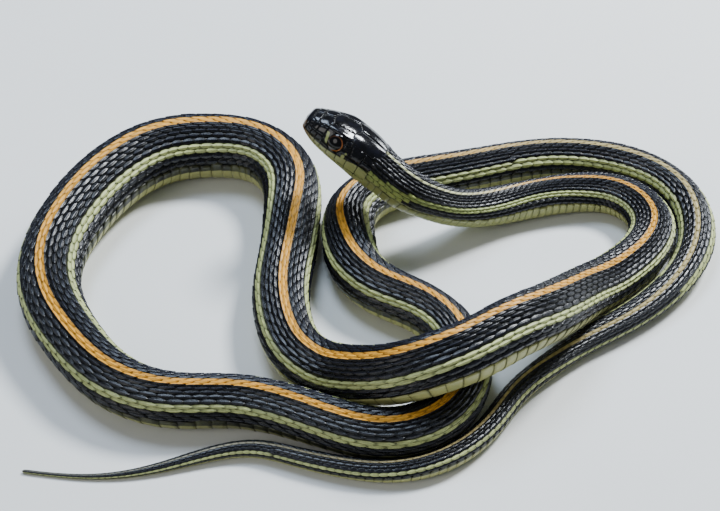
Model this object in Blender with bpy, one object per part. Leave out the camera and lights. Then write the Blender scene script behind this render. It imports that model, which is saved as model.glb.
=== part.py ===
"""Ribbon garter snake lying in loose bends, with its head raised over its own body.

Sizes are millimetres here and become metres where a mesh is made. The spine is one smooth
curve seen from above. It starts where the head meets the neck and ends at the tip of the tail.
Each length of the body is a loft along that curve, with a flat belly that lies on the floor.
"""
import math

import bmesh
import bpy
import numpy as np
from mathutils import Vector

MM = 0.001
GAP = 0.3                      # clear space left between touching pieces

# The bends of the body, seen from above (mm)
ROUTE = [
    (2.56, 13.14), (5.1, 12.15), (8.8, 12.05), (14.2, 13.4), (21.0, 16.45), (28.6, 20.0),
    (36.0, 22.4),
    (43.5, 23.6), (50.0, 22.8), (55.0, 18.6), (56.6, 12.5), (54.4, 6.0), (50.2, 0.8),
    (41.2, -7.6), (35.2, -15.1), (30.0, -21.0), (22.4, -27.1), (11.1, -33.2),
    (3.2, -33.1), (-5.6, -29.0), (-13.5, -23.9), (-17.7, -14.0), (-18.3, -6.5),
    (-17.4, 4.0), (-16.9, 15.0), (-18.3, 26.0), (-24.5, 33.6), (-35.1, 35.8),
    (-45.5, 33.6), (-54.5, 25.6), (-61.0, 13.4), (-63.9, 0.0), (-62.1, -10.3),
    (-56.8, -19.9), (-48.0, -29.6), (-37.5, -33.8), (-26.0, -34.0), (-15.3, -36.4),
    (-6.1, -39.8), (1.4, -41.3), (8.2, -39.9), (13.1, -36.2), (16.1, -30.3),
    (16.6, -24.0), (14.0, -16.3), (7.5, -9.8), (0.4, -5.2), (-4.0, 1.0), (-5.2, 8.0),
    (-4.7, 15.5), (0.1, 22.4), (9.0, 26.8), (21.2, 30.4), (34.0, 33.6), (46.2, 33.8),
    (57.2, 30.0), (64.0, 22.2), (65.8, 14.0), (63.9, 5.3), (58.0, -3.5), (46.7, -12.9),
    (40.2, -17.2), (32.7, -23.2), (25.8, -30.1), (21.0, -37.2), (15.3, -43.2),
    (8.35, -46.8), (0.4, -47.7), (-7.1, -46.5), (-14.2, -44.5), (-22.2, -42.5),
    (-30.0, -43.6), (-38.4, -46.2), (-48.5, -47.9), (-63.1, -46.6),
]

PLAN_MIDDLE = (-0.3, -3.6)   # the origin is under the middle of the model

# Half width and half height of the body at a length from the neck joint (mm)
GIRTH = [
    (0, 4.5, 4.25), (5, 4.2, 3.9), (11, 3.9, 3.6), (22, 3.95, 3.65), (45, 4.2, 3.8),
    (62, 4.7, 4.05), (85, 5.15, 4.65), (110, 5.6, 5.25), (130, 5.55, 5.25), (150, 5.35, 5.1),
    (175, 5.5, 5.1), (200, 5.9, 5.6), (232, 6.9, 6.4), (265, 6.8, 6.2), (290, 5.9, 5.5),
    (320, 5.15, 4.9), (370, 4.6, 4.5), (410, 5.0, 4.7), (440, 5.3, 4.9), (465, 4.6, 4.3),
    (500, 4.3, 4.0), (530, 3.7, 3.5), (560, 2.7, 2.6), (600, 2.2, 2.15), (635, 1.8, 1.75),
    (655, 1.2, 1.2), (670, 0.6, 0.6), (700, 0.4, 0.4),
]
BELLY_FLAT = 0.87              # the belly is cut flat past this share of the lower half
BELLY_SNAP = 0.06              # lower than this the belly is on the floor

# How far the body is lifted off the floor (mm)
NECK_LIFT = [(0, 13.03), (2.8, 11.68), (6.4, 9.55), (12.0, 5.9), (19.5, 2.3), (28.0, 0.35), (34.0, 0)]
CROSS_LIFT = 9.7               # where the front of the body passes over its own later bend
CROSS_RISE = (80.0, 115.0)
CROSS_FALL = (125.5, 153.5)
HEAD_TILT = 11.7               # the head's left cheek is turned up, easing along the neck (degrees)
TILT_REACH = 14.0

# Lengths of the body and the place along the spine where each one ends (mm)
LENGTHS = [
    ("neck", 32), ("torso_front_loop", 58), ("torso_right_turn", 84), ("torso_crossing", 118),
    ("torso_left_turn", 162), ("torso_riser", 200), ("torso_arch_right", 240),
    ("torso_arch_left", 284), ("torso_corner", 322), ("torso_front_run", 362),
    ("torso_under_bend", 402), ("torso_inner_run", 436), ("torso_inner_bend", 466),
    ("tail_base", 500), ("tail_right_turn", 536), ("tail_return", 580),
    ("tail_front_bend", 620), ("tail_slender", 655), ("tail_end", None),
]
RING_SIDES = 16
SCUTE_PITCH = 4.3              # length of a belly scute; its rear edge stands proud
SCUTE_RISE = 0.2
SCUTE_SHARE = 0.07             # of the body's half width, where that is less
SCUTE_ANGLE = 112              # from the back, where the scutes begin
SCUTE_STEP = 0.3               # from one scute's rear edge to the front of the next
TAIL_TIP = 0.9                 # the last of the tail closes over this length

# Distance back from the snout, half width, crown height, chin depth and rise of the middle (mm)
HEAD = [
    (0.0, 1.6, 1.2, 1.1, 0.1), (0.6, 2.5, 1.9, 1.8, 0.15), (1.7, 3.3, 2.5, 2.5, 0.25),
    (3.4, 3.9, 3.1, 3.35, 0.5), (5.6, 4.4, 3.65, 3.95, 0.75), (7.9, 4.95, 3.95, 4.15, 0.9),
    (10.5, 5.3, 4.2, 4.25, 0.95), (13.7, 5.15, 4.4, 4.45, 0.7), (16.3, 4.85, 4.4, 4.45, 0.37),
    (18.5, 4.6, 4.3, 4.35, 0.08), (20.0, 4.5, 4.25, 4.25, 0.0),
]
HEAD_LENGTH = HEAD[-1][0]
HEAD_SQUARE = 2.5              # flat crown and upright lips, easing to a round neck
JAW_CORNER = 16.2
GROOVE = 0.12                  # depth of the seams between the shields of the head
GROOVE_REACH = 0.2
MOUTH_ANGLE = 101
MOUTH_DEPTH = 0.3
# How much lower than that angle the mouth line runs, at a distance back from the snout
MOUTH_DROP = [(0, 5), (3, 15), (7, 17), (11, 10), (16, 3)]
BROW_ANGLE = 42
BROW_RISE = 0.35

# Seams across the head: distance from the snout, and the angles from the crown they span
SEAMS_ACROSS = [
    (1.3, 0, 60), (2.6, 0, 60), (5.0, 0, 42), (10.5, 0, 42), (16.4, 0, 80),
    (2.6, 80, 124), (5.0, 80, 124), (6.8, 80, 124), (8.7, 80, 124), (10.5, 80, 124),
    (12.4, 80, 124), (14.4, 80, 124),
]
# Seams along the head: angle from the crown, and the distances they run between
SEAMS_ALONG = [
    (0, 1.3, 5.0), (0, 10.5, 16.4), (21, 5.0, 10.5), (42, 2.6, 16.4), (80, 2.6, 16.4),
    (124, 2.6, 14.4), (180, 2.6, 14.4),
]
HEAD_ANGLES = [0, 4, 12, 18, 21, 24, 32, 39, 42, 45, 52, 59, 68, 77, 80, 83, 90, 97.5, 101,
               104.5, 113, 121, 124, 127, 140, 154, 168, 176, 180]
HEAD_PLAIN_STATIONS = [0.0, 0.6, 3.8, 7.7, 15.4, 17.4, 18.7]

EYE_BACK = 7.7                 # from the snout to the middle of the eye
EYE_ANGLE = 73
EYE_RADIUS = 2.0
EYE_DEPTH = 1.35               # half thickness of the eye, across the head
EYE_SET = 0.7                 # how deep the middle of the eye is under the cheek
NOSTRIL_BACK = 1.9
NOSTRIL_ANGLE = 62
NOSTRIL_RADIUS = 0.36


def natural_curve(knots, values):
    """A natural cubic through the values, as a function of the knots' own measure."""
    knots = np.asarray(knots, float)
    values = np.asarray(values, float).reshape(len(knots), -1)
    span = np.diff(knots)
    slope = np.diff(values, axis=0) / span[:, None]
    system = np.eye(len(knots))
    target = np.zeros_like(values)
    for i in range(1, len(knots) - 1):
        system[i, i - 1:i + 2] = span[i - 1], 2 * (span[i - 1] + span[i]), span[i]
        target[i] = 6 * (slope[i] - slope[i - 1])
    bend = np.linalg.solve(system, target)

    def at(where):
        where = min(max(where, knots[0]), knots[-1])
        i = min(max(int(np.searchsorted(knots, where)) - 1, 0), len(span) - 1)
        a = (knots[i + 1] - where) / span[i]
        b = 1 - a
        curve = (a ** 3 - a) * bend[i] + (b ** 3 - b) * bend[i + 1]
        return a * values[i] + b * values[i + 1] + curve * span[i] ** 2 / 6

    return at


def route_by_length(points, step=0.5):
    """The plan curve through the points, measured by its own length."""
    points = np.asarray(points, float) - PLAN_MIDDLE
    chords = np.concatenate([[0], np.cumsum(np.hypot(*np.diff(points, axis=0).T))])
    curve = natural_curve(chords, points)
    fine = np.array([curve(t) for t in np.arange(0, chords[-1], step)] + [points[-1]])
    lengths = np.concatenate([[0], np.cumsum(np.hypot(*np.diff(fine, axis=0).T))])
    return lengths, fine


def smoothstep(low, high, value):
    t = min(max((value - low) / (high - low), 0), 1)
    return t * t * (3 - 2 * t)


PLAN_LENGTHS, PLAN = route_by_length(ROUTE)
BODY_LENGTH = PLAN_LENGTHS[-1]
GIRTH_CURVE = natural_curve([g[0] for g in GIRTH], [g[1:] for g in GIRTH])
NECK_CURVE = natural_curve(*zip(*NECK_LIFT))


def half_width(u):
    return float(GIRTH_CURVE(u)[0])


def half_height(u):
    return float(GIRTH_CURVE(u)[1])


def lift(u):
    neck = max(0.0, float(NECK_CURVE(u)[0]))
    crossing = smoothstep(*CROSS_RISE, u) * (1 - smoothstep(*CROSS_FALL, u))
    return neck + CROSS_LIFT * crossing


def spine(u):
    """Centre of the body's section at a plan length from the neck joint."""
    x = np.interp(u, PLAN_LENGTHS, PLAN[:, 0])
    y = np.interp(u, PLAN_LENGTHS, PLAN[:, 1])
    return np.array([x, y, lift(u) + half_height(u)])


def frame(u, reach=1.0):
    """Along, sideways and upward directions of the section at u."""
    ahead = spine(min(u + reach, BODY_LENGTH)) - spine(max(u - reach, 0))
    along = ahead / np.linalg.norm(ahead)
    side = np.cross(along, (0, 0, 1))
    side /= np.linalg.norm(side)
    up = np.cross(side, along)
    tilt = math.radians(HEAD_TILT) * (1 - smoothstep(0, TILT_REACH, u))
    side = side * math.cos(tilt) + up * math.sin(tilt)
    return along, side, np.cross(side, along)


def belly_ring(u, scale=1.0, proud=0.0):
    """Points round the section at u, starting at the back, with the belly flat below.

    The belly scutes stand out from the rest by the share given as proud.
    """
    _, side, up = frame(u)
    wide, tall = half_width(u) * scale, half_height(u) * scale
    scute = proud * min(SCUTE_RISE, SCUTE_SHARE * wide)
    ring = []
    for k in range(RING_SIDES):
        angle = math.tau * k / RING_SIDES
        rise = math.cos(angle)
        if rise < 0:
            rise = max(-1.0, rise / BELLY_FLAT)
        out = scute if rise < math.cos(math.radians(SCUTE_ANGLE)) else 0
        point = spine(u) + side * (wide + out) * math.sin(angle) + up * (tall + out) * rise
        if point[2] < BELLY_SNAP:
            point[2] = 0.0
        ring.append(point)
    return ring


def loft(name, rings):
    """One closed body through rings with the same number of points (mm)."""
    shell = bmesh.new()
    loops = [[shell.verts.new(Vector(point) * MM) for point in ring] for ring in rings]
    for near, far in zip(loops, loops[1:]):
        for k in range(len(near)):
            after = (k + 1) % len(near)
            shell.faces.new((near[k], near[after], far[after], far[k]))
    shell.faces.new(loops[0])
    shell.faces.new(loops[-1])
    bmesh.ops.recalc_face_normals(shell, faces=shell.faces)
    mesh = bpy.data.meshes.new(name)
    shell.to_mesh(mesh)
    shell.free()
    mesh.shade_smooth()
    return bpy.data.objects.new(name, mesh)


def body_length(name, start, end):
    """A length of the body, cut square to the spine with half a gap at each end."""
    start += GAP / 2
    is_tip = end >= BODY_LENGTH
    end -= TAIL_TIP if is_tip else GAP / 2
    count = round((end - start) / SCUTE_PITCH)
    edges = np.linspace(start, end + SCUTE_STEP, count + 1)
    rings = []
    for front, rear in zip(edges, edges[1:]):
        rings += [belly_ring(front), belly_ring(rear - SCUTE_STEP, proud=1.0)]
    if is_tip:
        rings.append(belly_ring(BODY_LENGTH, 0.45))
    return loft(name, rings)


# The head stands on its own straight axis, which carries on the slope of the neck.
def head_frame():
    along, side, up = frame(0.0)
    return spine(0.0), -along, side, up


HEAD_CURVE = natural_curve([h[0] for h in HEAD], [h[1:] for h in HEAD])


def head_relief(back, angle):
    """Height of the brow less the depth of the mouth line and the seams (mm)."""
    brow = math.exp(-((angle - BROW_ANGLE) / 9) ** 2 - ((back - EYE_BACK) / 2.6) ** 2)
    depth = 0.0
    for place, low, high in SEAMS_ACROSS:
        if abs(back - place) < 0.01 and low - 1 <= angle <= high + 1:
            depth = GROOVE
    for place, low, high in SEAMS_ALONG:
        if abs(angle - place) < 0.5 and low - 0.01 <= back <= high + 0.01:
            depth = GROOVE
    if angle == MOUTH_ANGLE and back <= JAW_CORNER:
        depth = MOUTH_DEPTH
    return BROW_RISE * brow - depth


def dropped(back, angle):
    """The angle with the mouth line lowered, and the lips drawn down with it."""
    places, drops = zip(*MOUTH_DROP)
    reach = 18 if angle < MOUTH_ANGLE else 39
    share = max(0.0, 1 - abs(angle - MOUTH_ANGLE) / reach)
    return angle + float(np.interp(back, places, drops)) * share


def head_point(back, angle, hand, out=0.0):
    """A point of the head's surface; hand is 1 on the near side and -1 on the far side."""
    origin, forward, side, up = head_frame()
    wide, crown, chin, raised = HEAD_CURVE(back)
    square = 2 + (HEAD_SQUARE - 2) * (1 - smoothstep(13.0, HEAD_LENGTH, back))
    lean = math.radians(dropped(back, angle))
    across = wide * abs(math.sin(lean)) ** (2 / square)
    rise = abs(math.cos(lean)) ** (2 / square)
    rise *= crown if angle < 90 else -chin
    out += head_relief(back, angle)
    reach = math.hypot(across, rise)
    across *= 1 + out / reach
    rise *= 1 + out / reach
    centre = origin + forward * (HEAD_LENGTH - back) + up * raised
    return centre + side * hand * across + up * rise


def head_stations():
    stations = set(HEAD_PLAIN_STATIONS)
    for place, _, _ in SEAMS_ACROSS:
        stations.update((place - GROOVE_REACH, place, place + GROOVE_REACH))
    return sorted(stations) + [HEAD_LENGTH - GAP / 2]


def make_head():
    rings = []
    for back in head_stations():
        near = [head_point(back, angle, 1) for angle in HEAD_ANGLES]
        far = [head_point(back, angle, -1) for angle in HEAD_ANGLES[-2:0:-1]]
        rings.append(near + far)
    return loft("head", rings)


def ball(name, centre, outward, forward, radii, rings=12):
    """An ellipsoid with its half thickness outward and its radii in the other directions."""
    outward = Vector(outward).normalized()
    upward = outward.cross(Vector(forward)).normalized()
    ahead = upward.cross(outward)
    shell = bmesh.new()
    bmesh.ops.create_uvsphere(shell, u_segments=rings * 2, v_segments=rings, radius=1)
    for vert in shell.verts:
        local = vert.co.copy()
        point = ahead * local.x * radii[0] + upward * local.y * radii[1]
        vert.co = (Vector(centre) + point + outward * local.z * radii[2]) * MM
    mesh = bpy.data.meshes.new(name)
    shell.to_mesh(mesh)
    shell.free()
    mesh.shade_smooth()
    return bpy.data.objects.new(name, mesh)


def outward_at(back, angle, hand):
    """Direction out of the cheek, square to its lie along and round the head."""
    ahead = head_point(back - 0.4, angle, hand) - head_point(back + 0.4, angle, hand)
    around = head_point(back, angle - 4, hand) - head_point(back, angle + 4, hand)
    outward = np.cross(ahead, around) * -hand
    return outward / np.linalg.norm(outward)


def make_eye(name, hand, margin=0.0):
    outward = outward_at(EYE_BACK, EYE_ANGLE, hand)
    centre = head_point(EYE_BACK, EYE_ANGLE, hand) - outward * EYE_SET
    radius = EYE_RADIUS + margin
    _, forward, _, _ = head_frame()
    return ball(name, centre, outward, forward, (radius, radius, EYE_DEPTH + margin))


def make_nostril(name, hand):
    outward = outward_at(NOSTRIL_BACK, NOSTRIL_ANGLE, hand)
    centre = head_point(NOSTRIL_BACK, NOSTRIL_ANGLE, hand)
    _, forward, _, _ = head_frame()
    return ball(name, centre, outward, forward, (NOSTRIL_RADIUS * 1.3, NOSTRIL_RADIUS, 0.6), 6)


def paint(obj, colour, roughness):
    material = bpy.data.materials.new(obj.name)
    material.use_nodes = True
    shader = material.node_tree.nodes["Principled BSDF"]
    shader.inputs["Base Color"].default_value = (*colour, 1)
    shader.inputs["Roughness"].default_value = roughness
    shader.inputs["Metallic"].default_value = 0
    obj.data.materials.append(material)


def main():
    for obj in list(bpy.data.objects):
        bpy.data.objects.remove(obj)
    snake = bpy.data.collections.new("ribbon_garter_snake")
    cutters = bpy.data.collections.new("cutters")
    for group in (snake, cutters):
        bpy.context.scene.collection.children.link(group)

    head = make_head()
    snake.objects.link(head)
    paint(head, (0.02, 0.02, 0.025), 0.35)
    for label, hand in (("left", 1), ("right", -1)):
        eye = make_eye(f"eye_{label}", hand)
        snake.objects.link(eye)
        paint(eye, (0.01, 0.01, 0.01), 0.08)
        for cutter in (make_eye(f"socket_{label}", hand, GAP), make_nostril(f"nostril_{label}", hand)):
            cutters.objects.link(cutter)
            cutter.hide_render = True
            cutter.display_type = "WIRE"
            cut = head.modifiers.new(cutter.name, "BOOLEAN")
            cut.operation = "DIFFERENCE"
            cut.object = cutter

    start = 0.0
    for name, end in LENGTHS:
        end = end or BODY_LENGTH
        piece = body_length(name, start, end)
        snake.objects.link(piece)
        paint(piece, (0.03, 0.03, 0.035), 0.45)
        start = end


main()
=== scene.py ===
"""A life-size ribbon garter snake, lying in loose bends with its head raised over its body.

Every surface of the snake is drawn on one pair of measures: the length along the spine from the
joint of head and neck, in millimetres, and the turn round the body from the middle of the back,
in degrees, positive on the animal's left. Lengths become metres where a point is placed.
"""
import math

import bmesh
import bpy
import numpy as np
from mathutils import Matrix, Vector


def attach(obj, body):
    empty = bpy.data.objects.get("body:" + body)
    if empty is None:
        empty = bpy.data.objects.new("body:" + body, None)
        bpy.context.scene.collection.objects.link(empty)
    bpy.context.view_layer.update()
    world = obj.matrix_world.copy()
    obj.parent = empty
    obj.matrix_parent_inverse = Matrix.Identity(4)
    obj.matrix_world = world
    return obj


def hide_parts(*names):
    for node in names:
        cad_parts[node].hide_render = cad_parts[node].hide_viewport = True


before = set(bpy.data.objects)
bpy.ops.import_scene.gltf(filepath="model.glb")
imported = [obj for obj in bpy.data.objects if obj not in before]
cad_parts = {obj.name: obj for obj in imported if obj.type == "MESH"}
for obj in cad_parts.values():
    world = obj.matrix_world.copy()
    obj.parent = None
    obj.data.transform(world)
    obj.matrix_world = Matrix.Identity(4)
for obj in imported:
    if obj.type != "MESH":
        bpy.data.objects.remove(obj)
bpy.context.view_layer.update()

MM = 0.001
RANDOM = np.random.default_rng(17)

# The bends of the body, seen from above (mm)
ROUTE = [
    (2.56, 13.14), (5.1, 12.15), (8.8, 12.05), (14.2, 13.4), (21.0, 16.45), (28.6, 20.0),
    (36.0, 22.4), (43.5, 23.6), (50.0, 22.8), (55.0, 18.6), (56.6, 12.5), (54.4, 6.0),
    (50.2, 0.8), (41.2, -7.6), (35.2, -15.1), (30.0, -21.0), (22.4, -27.1), (11.1, -33.2),
    (3.2, -33.1), (-5.6, -29.0), (-13.5, -23.9), (-17.7, -14.0), (-18.3, -6.5),
    (-17.4, 4.0), (-16.9, 15.0), (-18.3, 26.0), (-24.5, 33.6), (-35.1, 35.8),
    (-45.5, 33.6), (-54.5, 25.6), (-61.0, 13.4), (-63.9, 0.0), (-62.1, -10.3),
    (-56.8, -19.9), (-48.0, -29.6), (-37.5, -33.8), (-26.0, -34.0), (-15.3, -36.4),
    (-6.1, -39.8), (1.4, -41.3), (8.2, -39.9), (13.1, -36.2), (16.1, -30.3),
    (16.6, -24.0), (14.0, -16.3), (7.5, -9.8), (0.4, -5.2), (-4.0, 1.0), (-5.2, 8.0),
    (-4.7, 15.5), (0.1, 22.4), (9.0, 26.8), (21.2, 30.4), (34.0, 33.6), (46.2, 33.8),
    (57.2, 30.0), (64.0, 22.2), (65.8, 14.0), (63.9, 5.3), (58.0, -3.5), (46.7, -12.9),
    (40.2, -17.2), (32.7, -23.2), (25.8, -30.1), (21.0, -37.2), (15.3, -43.2),
    (8.35, -46.8), (0.4, -47.7), (-7.1, -46.5), (-14.2, -44.5), (-22.2, -42.5),
    (-30.0, -43.6), (-38.4, -46.2), (-48.5, -47.9), (-63.1, -46.6),
]
PLAN_MIDDLE = (-0.3, -3.6)     # this point of the plan comes over the origin
PLAN_STEP = 0.5                # spacing of the points along the plan curve

# Half width and half height of the body at a length along the spine (mm)
GIRTH = [
    (0, 4.5, 4.25), (5, 4.2, 3.9), (11, 3.9, 3.6), (22, 3.95, 3.65), (45, 4.2, 3.8),
    (62, 4.7, 4.05), (85, 5.15, 4.65), (110, 5.6, 5.25), (130, 5.55, 5.25), (150, 5.35, 5.1),
    (175, 5.5, 5.1), (200, 5.9, 5.6), (232, 6.9, 6.4), (265, 6.8, 6.2), (290, 5.9, 5.5),
    (320, 5.15, 4.9), (370, 4.6, 4.5), (410, 5.0, 4.7), (440, 5.3, 4.9), (465, 4.6, 4.3),
    (500, 4.3, 4.0), (530, 3.7, 3.5), (560, 2.7, 2.6), (600, 2.2, 2.15), (635, 1.8, 1.75),
    (655, 1.2, 1.2), (670, 0.6, 0.6), (700, 0.4, 0.4),
]
BELLY_FLAT = 0.87              # the belly is flat past this share of the lower half
FLAT_STARTS = (-1, 4)          # it grows flat between these lengths along the spine
FLAT_EDGE = (0.8, 1.15)        # between these shares of the flat, scales turn to face the floor
# How far the neck is held off the floor at a length along the spine (mm)
NECK_LIFT = [
    (0, 13.03), (2.8, 11.68), (6.4, 9.55), (12.0, 5.9), (19.5, 2.3), (28.0, 0.35), (34.0, 0),
]
CROSS_LIFT = 9.7               # where the front of the body passes over its own later bend
CROSS_RISE = (80.0, 115.0)
CROSS_FALL = (125.5, 153.5)
HEAD_TILT = 11.7               # the head's left cheek is turned up by this (degrees)
TILT_REACH = 14.0              # the tilt has eased out at this length along the neck
TAIL_TIP = 0.9                 # the tail closes in a round over this length

# How far the stripe leans off the top of the section, in degrees, at a length along the spine
LEAN = [
    (0, 2), (3, 10), (5, 16), (8, 13), (13, 4), (24, -10), (33, -20), (43, -11), (57, -1),
    (90, 0), (107, 6.5), (121, 16), (131, 7), (143, -7.5), (156, 1.5), (180, 5), (193, 9.5),
    (204, 18.5), (216, 13.5), (236, 6.5), (262, 10.5), (285, 10.5), (308, 3), (332, -5),
    (349, 1), (365, 6.5), (384, 0), (400, 13.5), (413, 7.5), (425, -2), (437, -21), (452, -12),
    (488, -13.5), (506, -6.5), (515, -8), (527, 3), (538, 1), (551, -14), (570, -11),
    (582, 8), (597, 17), (611, 27), (621, 14), (640, 9), (660, 3), (690, 0),
]

# Distance back from the snout, half width, crown height, chin depth and rise of the middle (mm)
HEAD = [
    (0.0, 1.6, 1.2, 1.1, 0.1), (0.6, 2.5, 1.9, 1.8, 0.15), (1.7, 3.3, 2.5, 2.5, 0.25),
    (3.4, 3.9, 3.1, 3.35, 0.5), (5.6, 4.4, 3.65, 3.95, 0.75), (7.9, 4.95, 3.95, 4.15, 0.9),
    (10.5, 5.3, 4.2, 4.25, 0.95), (13.7, 5.15, 4.4, 4.45, 0.7), (16.3, 4.85, 4.4, 4.45, 0.37),
    (18.5, 4.6, 4.3, 4.35, 0.08), (20.0, 4.5, 4.25, 4.25, 0.0),
]
HEAD_LENGTH = 20.0
HEAD_SQUARE = 2.5              # power of the section: a flat crown and upright lips
SQUARE_EASES = 13.0            # it eases to a round neck from this far back
NOSE_ROUND = 0.6               # the snout closes in a round over this length
EYE_BACK = 7.7
EYE_TURN = 73
EYE_RADIUS = 2.0
EYE_DEPTH = 1.35               # half thickness of the eyeball
EYE_SET = 0.7                  # its centre lies this far under the form of the head
NOSTRIL = (1.9, 62)            # distance back from the snout (mm) and turn (degrees)
BROW_TURN = 42
BROW_RISE = 0.35
BROW_SPREAD = (2.6, 9)         # it fades over this length (mm) and turn (degrees)

# Turn of the mouth line at a distance back from the snout (mm, degrees)
MOUTH = [(0, 106), (3, 116), (7, 118), (11, 111), (16, 104)]
MOUTH_DEPTH = 0.3
MOUTH_SPREAD = 1.8             # half width of its groove (degrees)
MOUTH_END = (16.6, 15.6)       # the groove is gone at the first distance, full at the second

SKIN_DEPTH = 0.2               # the skin lies this far under the tips of the scales
SHIELD_SHARE = 0.5             # and by this share of it under the head shields
SHIELDS_END = (-6.0, -4.0)     # the skin goes down to its full depth between these lengths
SKIN_THINS = 3.0               # narrower than this half width, the depth shrinks with the body
SKIN_SIDES = 72
HEAD_RINGS = 120
BODY_RINGS = 440
NOSE_RINGS = (0.02, 0.06, 0.11)  # extra rings, this far from the snout and from the tail's tip
TIP_RINGS = (0.4, 0.15)
TABLE_STEP = 0.25              # spacing of the places where the spine is worked out
HALF_WIDTH = 9                 # the table's column of half widths
THINNEST = 0.05                # keeps a facing from dividing by nothing at the two ends

# The turn at which the belly scutes begin, and the turns of the rows of scales on each side
SCUTE_TURN = 95
SCALE_ROWS = [
    (-9.0, (0, 8.2, 17.2, 26.6, 36.4, 46.5, 57.5, 66, 76.5, 88.5)),
    (448.0, (0, 9, 19, 29.5, 40.5, 52, 63.5, 76, 89)),
    (478.0, (0, 10.5, 22, 34, 46.5, 59.5, 74, 89)),
    (520.0, (0, 13, 27, 42, 58, 75, 90)), (582.0, (0, 16, 34, 54, 74, 91)),
    (640.0, (0, 22, 46, 71, 91)),
]
# Length of one scale at a length along the spine (mm)
PITCH = [
    (-20, 1.45), (30, 1.55), (60, 1.9), (100, 2.35), (140, 2.6), (200, 2.85), (300, 2.95),
    (420, 2.7), (500, 2.3), (590, 1.75), (650, 1.3), (690, 1.0),
]
SCALE_START = -3.6
SIDE_ROWS = (56, 68)           # the side stripe's rows lie between these turns
SIDE_ROW_WIDTH = 0.9           # and have scales this much narrower
FULL_SIZE = 5.5                # half width of the body at which scales have their full height
VENT = 466.0
# The last length along the spine of each solid, whose scales are one piece
FLESH_LENGTHS = [
    ("neck", 32), ("torso_front_loop", 58), ("torso_right_turn", 84), ("torso_crossing", 118),
    ("torso_left_turn", 162), ("torso_riser", 200), ("torso_arch_right", 240),
    ("torso_arch_left", 284), ("torso_corner", 322), ("torso_front_run", 362),
    ("torso_under_bend", 402), ("torso_inner_run", 436), ("torso_inner_bend", 466),
    ("tail_base", 500), ("tail_right_turn", 536), ("tail_return", 580),
    ("tail_front_bend", 620), ("tail_slender", 655), ("tail_end", 700),
]


def natural_curve(knots, values):
    """A natural cubic through the values, as a function of the knots' own measure."""
    knots = np.asarray(knots, float)
    values = np.asarray(values, float).reshape(len(knots), -1)
    span = np.diff(knots)
    slope = np.diff(values, axis=0) / span[:, None]
    system = np.eye(len(knots))
    target = np.zeros_like(values)
    for i in range(1, len(knots) - 1):
        system[i, i - 1:i + 2] = span[i - 1], 2 * (span[i - 1] + span[i]), span[i]
        target[i] = 6 * (slope[i] - slope[i - 1])
    bend = np.linalg.solve(system, target)

    def at(where):
        where = np.clip(where, knots[0], knots[-1])
        i = np.clip(np.searchsorted(knots, where) - 1, 0, len(span) - 1)
        a = ((knots[i + 1] - where) / span[i])[:, None]
        b = 1 - a
        curve = (a ** 3 - a) * bend[i] + (b ** 3 - b) * bend[i + 1]
        return a * values[i] + b * values[i + 1] + curve * span[i][:, None] ** 2 / 6

    return at


def smooth_step(low, high, value):
    t = np.clip((value - low) / (high - low), 0, 1)
    return t * t * (3 - 2 * t)


def unit(vectors):
    return vectors / np.linalg.norm(vectors, axis=-1, keepdims=True)


def plan_of_the_bends():
    """Length along the plan curve, and its points, one plan step apart."""
    points = np.array(ROUTE) - PLAN_MIDDLE
    chords = np.concatenate([[0], np.cumsum(np.hypot(*np.diff(points, axis=0).T))])
    steps = np.append(np.arange(0, chords[-1], PLAN_STEP), chords[-1])
    fine = natural_curve(chords, points)(steps)
    lengths = np.concatenate([[0], np.cumsum(np.hypot(*np.diff(fine, axis=0).T))])
    return lengths, fine


PLAN_LENGTHS, PLAN = plan_of_the_bends()
BODY_LENGTH = PLAN_LENGTHS[-1]
girth_curve = natural_curve([g[0] for g in GIRTH], [g[1:] for g in GIRTH])
head_curve = natural_curve([h[0] for h in HEAD], [h[1:] for h in HEAD])
neck_curve = natural_curve(*zip(*NECK_LIFT))
lean_curve = natural_curve([g[0] for g in LEAN], [g[1:] for g in LEAN])


def spine(along):
    """Centre of the body's section (mm)."""
    neck = np.maximum(0, neck_curve(along)[:, 0])
    crossing = smooth_step(*CROSS_RISE, along) * (1 - smooth_step(*CROSS_FALL, along))
    x = np.interp(along, PLAN_LENGTHS, PLAN[:, 0])
    y = np.interp(along, PLAN_LENGTHS, PLAN[:, 1])
    z = neck + CROSS_LIFT * crossing + girth_curve(along)[:, 1]
    return np.stack([x, y, z], axis=1)


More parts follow.
